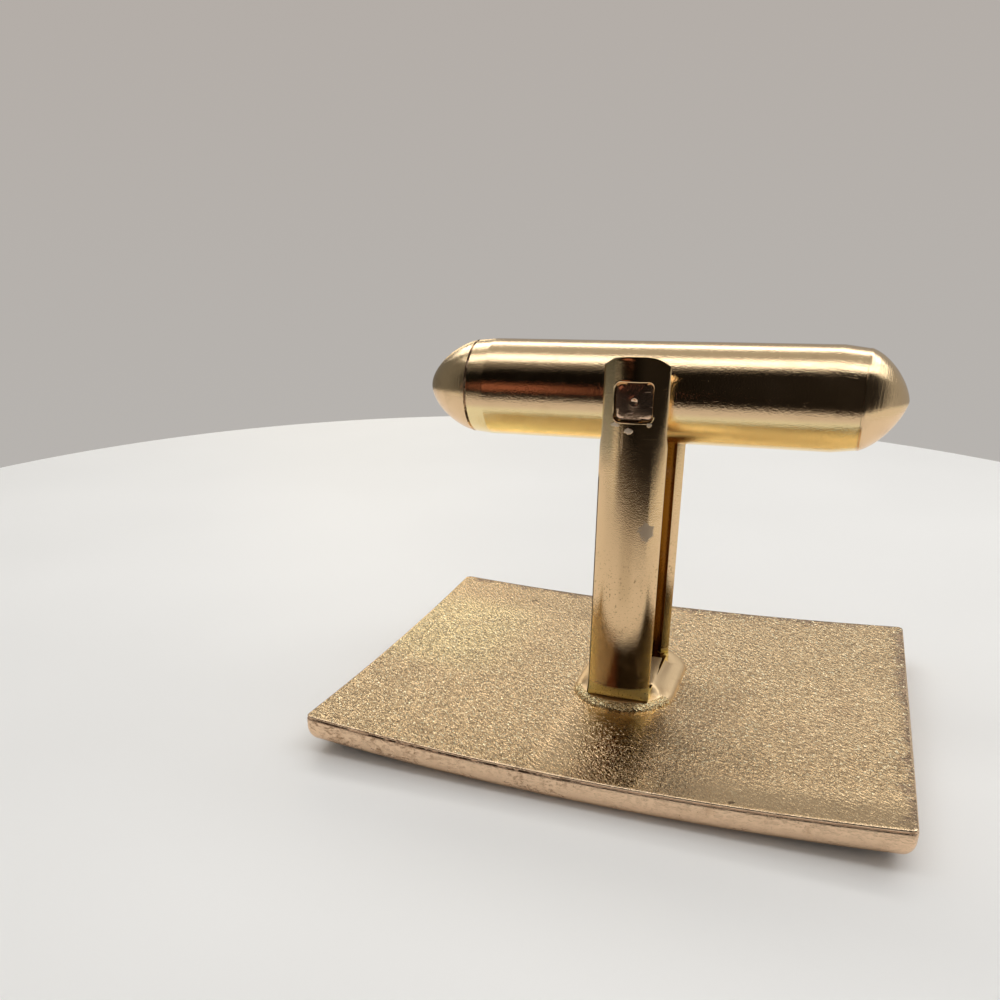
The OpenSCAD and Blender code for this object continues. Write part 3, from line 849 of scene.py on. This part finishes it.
def strip_sheet():
    """The strip's outer surface as a sheet with its two square holes, given its thickness."""
    half = [0, 0.13, 0.26, 0.39, 0.52, 0.65, HOLE_HALF, 0.86, 0.94, 1.02, 1.1, 1.18, 1.25, HEAD_HALF_W]
    across = [-x for x in half[:0:-1]] + half
    near = strip_path()
    rows = [(kind, value, 1) for kind, value in near] + [(kind, value, -1) for kind, value in near[-2::-1]]
    columns, lines = len(across) - 1, len(rows) - 1
    bm = bmesh.new()
    bmesh.ops.create_grid(bm, x_segments=columns, y_segments=lines, size=1.0)
    for vertex in bm.verts:
        column = round((vertex.co.x + 1) / 2 * columns)
        kind, value, side = rows[round((vertex.co.y + 1) / 2 * lines)]
        point = strip_point(kind, value, across[column])
        point.y *= side
        vertex.co = point * MM
    hole = [f for f in bm.faces if abs(f.calc_center_median().x) < HOLE_HALF * MM
            and abs(f.calc_center_median().z - PIVOT_Z * MM) < HOLE_HALF * MM]
    bmesh.ops.delete(bm, geom=hole, context="FACES")
    bmesh.ops.recalc_face_normals(bm, faces=bm.faces)
    mid_leg = Vector((0, -CROWN_Y, 6)) * MM
    probe = min(bm.faces, key=lambda f: (f.calc_center_median() - mid_leg).length)
    inward = STRIP_T if probe.normal.y < 0 else -STRIP_T
    bmesh.ops.solidify(bm, geom=list(bm.faces), thickness=inward * MM)
    bmesh.ops.recalc_face_normals(bm, faces=bm.faces)
    return bm


def round_strip_edges(bm):
    """Rounds the strip's sharp edges, but not those of the square holes."""
    def at_hole(edge):
        middle = (edge.verts[0].co + edge.verts[1].co) / 2 / MM
        return abs(middle.x) < HOLE_HALF + 0.02 and abs(middle.z - PIVOT_Z) < HOLE_HALF + 0.02

    sharp = [e for e in bm.edges if len(e.link_faces) == 2 and e.calc_face_angle() > math.radians(50)
             and not at_hole(e)]
    at_tip = [e for e in sharp if min(v.co.z for v in e.verts) > (PIVOT_Z + HOLE_HALF + 0.5) * MM
              and abs(e.verts[0].co.x - e.verts[1].co.x) > abs(e.verts[0].co.z - e.verts[1].co.z)]
    others = [e for e in sharp if e not in at_tip]
    for edges, radius in ((others, STRIP_EDGE_R), (at_tip, TIP_EDGE_R)):
        live = [e for e in edges if e.is_valid]
        bmesh.ops.bevel(bm, geom=live, offset=radius * MM, offset_type="OFFSET", segments=3,
                        profile=0.5, affect="EDGES", material=-1, clamp_overlap=True)


def build_post(material, painted_shade_inner_material):
    bm = strip_sheet()
    round_strip_edges(bm)
    # Faces inside the U between the legs get the dark amber copy of the gold, painted shade
    for face in bm.faces:
        c = face.calc_center_median() / MM
        reach = math.hypot(c.x, abs(c.y) - LEG_AXIS_Y)
        inside = c.z > SEAT_Z + STRIP_T - 0.03 and reach < LEG_R - STRIP_T + 0.04
        face.material_index = 1 if inside else 0
    for side in (1, -1):
        add_pin_lip(bm, side)
    add_piece("post_strip", bm, [material, painted_shade_inner_material], "front", ["post"], 40)


def square_loop(half, corner):
    """Points round a square with round corners, half of them on the corners, as across and height."""
    flat = half - corner
    points = []
    for i in range(PIN_POINTS):
        quarter, step = divmod(i, PIN_POINTS // 4)
        t = 2 * step / (PIN_POINTS // 4)
        turn = math.pi / 2 * quarter
        if t < 1:
            x, y = flat + corner * math.cos(t * math.pi / 2), flat + corner * math.sin(t * math.pi / 2)
        else:
            x, y = flat - 2 * flat * (t - 1), flat + corner
        points.append((x * math.cos(turn) - y * math.sin(turn), x * math.sin(turn) + y * math.cos(turn)))
    return points


def leg_surface_y(x):
    return LEG_AXIS_Y + math.sqrt(LEG_R ** 2 - x * x)


def add_pin_lip(bm, side):
    """Burr raised round the pin's end, which also lines the mouth of the hole."""
    deep = PIN_END_Y - LIP_DEPTH
    # Distance from the pin and share of the lip's height; none stands for the foot inside the hole
    sections = [(0.0, None), (0.0, 0.5), (0.02, 0.9), (0.045, 1.0), (LIP_W, 0.75), (LIP_W, -0.2),
                (LIP_W, None)]
    rings = []
    for offset, rise in sections:
        points = []
        for k, (x, z) in enumerate(square_loop(PIN_HALF - 0.005 + offset, PIN_EDGE_R + offset)):
            wobble = 1 + 0.25 * math.sin(k * 0.9 + side) + 0.2 * math.sin(k * 0.37)
            y = deep if rise is None else leg_surface_y(x) + LIP_H * rise * wobble
            points.append(Vector((x, -side * y, PIVOT_Z + z)) * MM)
        rings.append(points)
    loft(bm, rings, join_ends=True)


# Pivot pin

def build_pin(material):
    """Square pin with a punched dot in each end."""
    angles = [2 * math.pi * (i + PIN_POINTS // 8) / PIN_POINTS for i in range(PIN_POINTS)]
    circle = [(math.cos(a), math.sin(a)) for a in angles]
    square = square_loop(PIN_HALF - 0.004, PIN_EDGE_R)

    def ring(share, radius, y):
        """Loop between the pin's square (share 1) and a circle of the radius (share 0)."""
        round_part = radius * (1 - share)
        return [Vector((s[0] * share + c[0] * round_part, y, PIVOT_Z + s[1] * share + c[1] * round_part)) * MM
                for s, c in zip(square, circle)]

    end = [(0.0, 0.01, PIN_END_Y - PUNCH_T), (0.0, PUNCH_R * 0.6, PIN_END_Y - PUNCH_T * 0.7),
           (0.0, PUNCH_R, PIN_END_Y - 0.01), (0.0, PUNCH_R * 1.3, PIN_END_Y + 0.004),
           (0.0, PUNCH_R * 1.7, PIN_END_Y - 0.003), (0.25, 0.25, PIN_END_Y - 0.004),
           (0.6, 0.3, PIN_END_Y - 0.012), (0.9, 0.5, PIN_END_Y - 0.03), (1.0, 0.5, PIN_END_Y - 0.07)]
    rings = [ring(share, radius, -y) for share, radius, y in end]
    rings += [ring(share, radius, y) for share, radius, y in end[::-1]]
    bm = bmesh.new()
    loft(bm, rings)
    add_piece("square_pin", bm, [material], "front", ["pivot_pin"], 40)


# Toggle bar

def spin_profile(points):
    """Turns a closed or axis-to-axis line of (x, radius) points round the toggle's axis."""
    bm = bmesh.new()
    verts = [bm.verts.new(Vector((x, 0, PIVOT_Z + r)) * MM) for x, r in points]
    edges = [bm.edges.new(pair) for pair in zip(verts, verts[1:])]
    if points[0][1] > 0.001 or points[-1][1] > 0.001:
        edges.append(bm.edges.new((verts[-1], verts[0])))
    bmesh.ops.spin(bm, geom=verts + edges, cent=(0, 0, PIVOT_Z * MM), axis=(1, 0, 0), dvec=(0, 0, 0),
                   angle=2 * math.pi, steps=TURN_STEPS, use_merge=True, use_duplicate=False)
    bmesh.ops.remove_doubles(bm, verts=bm.verts, dist=1e-8)
    return bm


def tube_half(end):
    """Outline of the tube from its side hole out over one turned-in end and back along the bore."""
    points = [(SIDE_HOLE_HALF, TUBE_R), (3.0, TUBE_R), (5.0, TUBE_R)]
    reach, fall = end["seam"] - 0.03 - end["start"], TUBE_R - end["seam_r"]
    for t in (i / 10 for i in range(11)):
        points.append((end["start"] + reach * t, TUBE_R - fall * (0.95 * t + 0.05 * t * t)))
    points += [(end["seam"], end["seam_r"] - end["groove"] * 0.6), (end["seam"], PLUG_R + 0.005)]
    points += [(end["seam"] - 0.1, PLUG_R + 0.005), (end["start"] - 0.1, BORE_R), (SIDE_HOLE_HALF, BORE_R)]
    return points


def build_tube(material):
    left = [(-x, r) for x, r in tube_half(LEFT_END)[::-1]]
    bm = spin_profile(left + tube_half(RIGHT_END))
    cut_side_holes(bm)
    add_piece("toggle_barrel", bm, [material], "toggle", ["toggle_tube"], 4.0)


def cut_side_holes(bm):
    """Opens the tube's wall on both sides where the pin passes, and lines the openings."""
    for side in (1, -1):
        opened = []
        for face in bm.faces:
            c = face.calc_center_median() / MM
            angle = math.atan2(c.z - PIVOT_Z, side * c.y)
            if abs(c.x) < SIDE_HOLE_HALF and abs(angle) < SIDE_HOLE_ANGLE:
                opened.append(face)
        bmesh.ops.delete(bm, geom=opened, context="FACES")
        bmesh.ops.bridge_loops(bm, edges=[edge for edge in bm.edges if edge.is_boundary])


def nose_points(end):
    """Outline of a nose from the plug over its belly to the tip."""
    seam, seam_r, depth = end["seam"], end["seam_r"], end["groove"]
    points = [(PLUG_X, 0.0), (PLUG_X, PLUG_R), (seam + 0.01, PLUG_R), (seam + 0.012, seam_r - depth),
              (seam + 0.06, seam_r - depth * 0.7), (seam + GROOVE_W, seam_r - 0.006)]
    steps = 34
    for i in range(1, steps + 1):
        t = 1 - (1 - i / steps) ** 1.8
        x = seam + GROOVE_W + (end["tip"] - seam - GROOVE_W) * t
        share = (x - seam) / (end["tip"] - seam)
        points.append((x, seam_r * max(1 - share ** NOSE_BELLY, 0.0) ** end["point"]))
    return points


def build_nose(hand, side, end, material, dark):
    """Nose with its plug; a deep groove at the seam holds dark polish."""
    bm = spin_profile([(side * x, r) for x, r in nose_points(end)])
    for face in bm.faces:
        c = face.calc_center_median() / MM
        in_groove = abs(c.x) < end["seam"] + GROOVE_W and math.hypot(c.y, c.z - PIVOT_Z) > PLUG_R + 0.05
        face.material_index = 1 if in_groove and end["groove"] > 0.05 else 0
    add_piece("nose_cap_" + hand, bm, [material, dark], "toggle", ["nose_" + hand], 30)


# Stage

def plain_mesh_object(name, bm, material):
    mesh = bpy.data.meshes.new(name)
    bm.to_mesh(mesh)
    bm.free()
    mesh.materials.append(material)
    made = bpy.data.objects.new(name, mesh)
    bpy.context.scene.collection.objects.link(made)
    return made


def table_material():
    """Pale table; in reflections only, painted shade darkens it towards the camera."""
    material, tree, shader = new_material("table_white")
    place = object_place(tree)
    tone = remap(noise(place, 0.03, 2.0), 0.3, 0.7)
    plain = mix_colour(tone, (0.86, 0.855, 0.835, 1), (0.90, 0.895, 0.875, 1))
    across, along, _ = axes(place)
    toward = minus(times(across, 0.1), along)
    ramp = tree.nodes.new("ShaderNodeValToRGB")
    for _ in TABLE_TONES[2:]:
        ramp.color_ramp.elements.new(0.5)
    for element, (reach, level) in zip(ramp.color_ramp.elements, TABLE_TONES):
        element.position = reach / TABLE_REACH
        element.color = (level, level * 0.93, level * 0.91, 1)
    connect(ramp.inputs["Fac"], maths("DIVIDE", toward, TABLE_REACH, clamp=True))
    # Painted shade, seen only in reflections, darkening the table towards the camera
    shaded = mix_colour(1.0, plain, ramp.outputs["Color"], "MULTIPLY")
    mirrored = node(tree, "ShaderNodeLightPath").outputs["Is Glossy Ray"]
    feed(shader, Base_Color=mix_colour(mirrored, plain, shaded), Roughness=0.55)
    return material


def build_floor():
    bm = bmesh.new()
    bmesh.ops.create_circle(bm, cap_ends=True, segments=256, radius=TABLE_R * MM)
    bmesh.ops.translate(bm, verts=bm.verts, vec=Vector(TABLE_PLACE) * MM)
    plain_mesh_object("table", bm, table_material())


def build_card(name, colours, left, right, low, high, nearer):
    """Card in the camera's own plane that only reflections see, by its reach from the camera."""
    material, tree, shader = new_material(name)
    colour_left, colour, colour_right = colours
    across = axes(object_place(tree))["X"]
    shade = mix_colour(remap(across, -12.0, 10.0), colour, colour_right)
    shade = mix_colour(remap(across, -50.0, -57.0), shade, colour_left)
    feed(shader, Base_Color=shade, Roughness=1.0, Specular_IOR_Level=0.0)
    bm = bmesh.new()
    bmesh.ops.create_grid(bm, x_segments=1, y_segments=1, size=0.5)
    bmesh.ops.scale(bm, verts=bm.verts, vec=Vector((right - left, high - low, 1)) * MM)
    bmesh.ops.translate(bm, verts=bm.verts, vec=Vector(((left + right) / 2, (low + high) / 2, -nearer)) * MM)
    bmesh.ops.transform(bm, matrix=bpy.context.scene.camera.matrix_world, verts=bm.verts)
    card = plain_mesh_object(name, bm, material)
    card.visible_camera = False
    card.visible_diffuse = False
    card.visible_shadow = False
    card.visible_transmission = False


def build_cards():
    dark = ((0.028, 0.027, 0.022, 1), (0.006, 0.005, 0.004, 1), (0.024, 0.02, 0.017, 1))
    build_card("dark_card", dark, left=-110, right=95, low=-24, high=44, nearer=0)
    warm = [(0.5, 0.19, 0.12, 1)] * 3
    build_card("warm_card", warm, left=-55, right=-25, low=-9, high=6, nearer=0.5)


def area_lamp(name, place, target, size_x, size_y, radiance, colour=(1, 1, 1)):
    """Rectangular soft lamp of a given radiance, aimed at a point, all in millimetres."""
    data = bpy.data.lights.new(name, "AREA")
    data.shape = "RECTANGLE"
    data.size, data.size_y = size_x * MM, size_y * MM
    data.energy = radiance * math.pi * size_x * size_y * MM * MM
    data.color = colour
    lamp = bpy.data.objects.new(name, data)
    bpy.context.scene.collection.objects.link(lamp)
    lamp.location = Vector(place) * MM
    lamp.visible_camera = False
    ahead = (Vector(target) - Vector(place)).normalized()
    lamp.rotation_mode = "QUATERNION"
    lamp.rotation_quaternion = ahead.to_track_quat("-Z", "Y")


def build_lights():
    area_lamp("lamp_overhead", (0, -20, 150), (0, -4, 0), 220, 42, 2.05)
    area_lamp("lamp_behind", (0, 105, 130), (0, 0, 10), 240, 32, 3.1)
    area_lamp("lamp_left", (-92, 62, 108), (0, 0, 5), 46, 60, 2.2)
    area_lamp("lamp_right", (92, 42, 120), (0, 0, 5), 80, 80, 1.7)
    area_lamp("lamp_low_left", (-72, 112, 44), (0, 0, 5), 40, 24, 2.0, (1.0, 0.84, 0.55))


def build_world():
    """Plain studio: an even level for light, a grey backdrop for the camera, a toned room in reflections."""
    world = bpy.data.worlds.new("studio")
    bpy.context.scene.world = world
    world.use_nodes = True
    tree = world.node_tree
    tree.nodes.clear()
    direction = node(tree, "ShaderNodeTexCoord").outputs["Generated"]
    x, y, z = axes(direction)
    high = remap(z, -0.35, 0.6)
    backdrop = mix_colour(high, (0.475, 0.455, 0.432, 1), (0.443, 0.397, 0.362, 1))
    front = remap(y, -0.75, 0.15)
    room = mix_colour(front, (0.10, 0.085, 0.075, 1), (0.47, 0.45, 0.42, 1))
    marks = {
        "low_behind": area_mask(direction, Z=(0.62, 0.4), Y=(0.0, 0.3)),
        "left": remap(x, -0.45, -0.7),
        "below": area_mask(direction, Z=(-0.16, -0.2), Y=(-0.84, -0.74)),
    }
    room = tinted(room, marks, (
        ("low_behind", 0.3, (0.08, 0.07, 0.06, 1)), ("left", 0.85, (0.12, 0.115, 0.10, 1)),
        ("below", 1.0, (0.74, 0.69, 0.62, 1))))
    rays = node(tree, "ShaderNodeLightPath").outputs
    seen = maths("ADD", rays["Is Camera Ray"], rays["Is Transmission Ray"], clamp=True)
    colour = mix_colour(rays["Is Glossy Ray"], (0.42, 0.41, 0.40, 1), room)
    colour = mix_colour(seen, colour, backdrop)
    shade = node(tree, "ShaderNodeBackground", Color=colour, Strength=1.0)
    out = node(tree, "ShaderNodeOutputWorld")
    tree.links.new(shade.outputs["Background"], out.inputs["Surface"])


# Whole object

def build_front(plating, groove):
    """Plate, enamels, pad, post and pin."""
    field = gilt_material("gilt_field", plating, GOLD, roughness=0.08, bump=0.006, scratch=0.8,
                          tarnish=0.25, peel=5.0)
    build_face_plate(edge_material(plating), back_material(plating), groove, field)
    black = enamel_material("enamel_black", (0.003, 0.003, 0.004, 1), (0.006, 0.006, 0.008, 1), 0.6, coat=0.5)
    green = enamel_material("enamel_green", (0.003, 0.06, 0.027, 1), (0.012, 0.15, 0.068, 1), 0.5)
    blue = enamel_material("enamel_blue", (0.002, 0.012, 0.24, 1), (0.005, 0.025, 0.42, 1), 0.5)
    build_blue_oval(blue)
    build_green_ring(green)
    for depth, side_y in (("near", -1), ("far", 1)):
        for hand, side_x in (("left", -1), ("right", 1)):
            build_black_corner(f"black_{depth}_{hand}", side_x, side_y, black)
    satin = gilt_material("gilt_satin", plating, GOLD, roughness=0.42, bump=0.01, scratch=0.1,
                          tarnish=0.25, peel=7.0)
    build_pad(satin, crescent_material())
    # Painted shade: the dark amber gold for the inside faces between the legs
    inner = gilt_material("gilt_inner_painted_shade", plating, GOLD_INNER_PAINTED_SHADE, roughness=0.2, bump=0.004, scratch=0.3,
                          tarnish=0.3, peel=12.0)
    build_post(leg_material(plating), inner)
    build_pin(gilt_material("gilt_pin", plating, GOLD_PIN, roughness=0.15, bump=0.006, scratch=0.6,
                            tarnish=0.35, peel=9.0))


def build_toggle(plating, groove):
    """Tube, noses and spring; the spring keeps the shape of its solid."""
    # The tube's lower side carries a painted amber reflection
    build_tube(gilt_material("gilt_tube", plating, GOLD, roughness=0.06, bump=0.008, scratch=0.3,
                             tarnish=0.14, peel=15.0, painted_amber_below=PAINTED_AMBER_BELOW_Z))
    turned = nose_material(plating)
    for hand, side, end in (("left", -1, LEFT_END), ("right", 1, RIGHT_END)):
        build_nose(hand, side, end, turned, groove)
    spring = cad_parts["leaf_spring"]
    spring.data.materials.clear()
    spring.data.materials.append(steel_material())


def build_object():
    plating, groove = make_plating(), groove_material()
    build_front(plating, groove)
    build_toggle(plating, groove)


build_camera()
bpy.context.scene.view_settings.view_transform = "Standard"
build_world()
build_lights()
build_floor()
build_cards()
build_object()
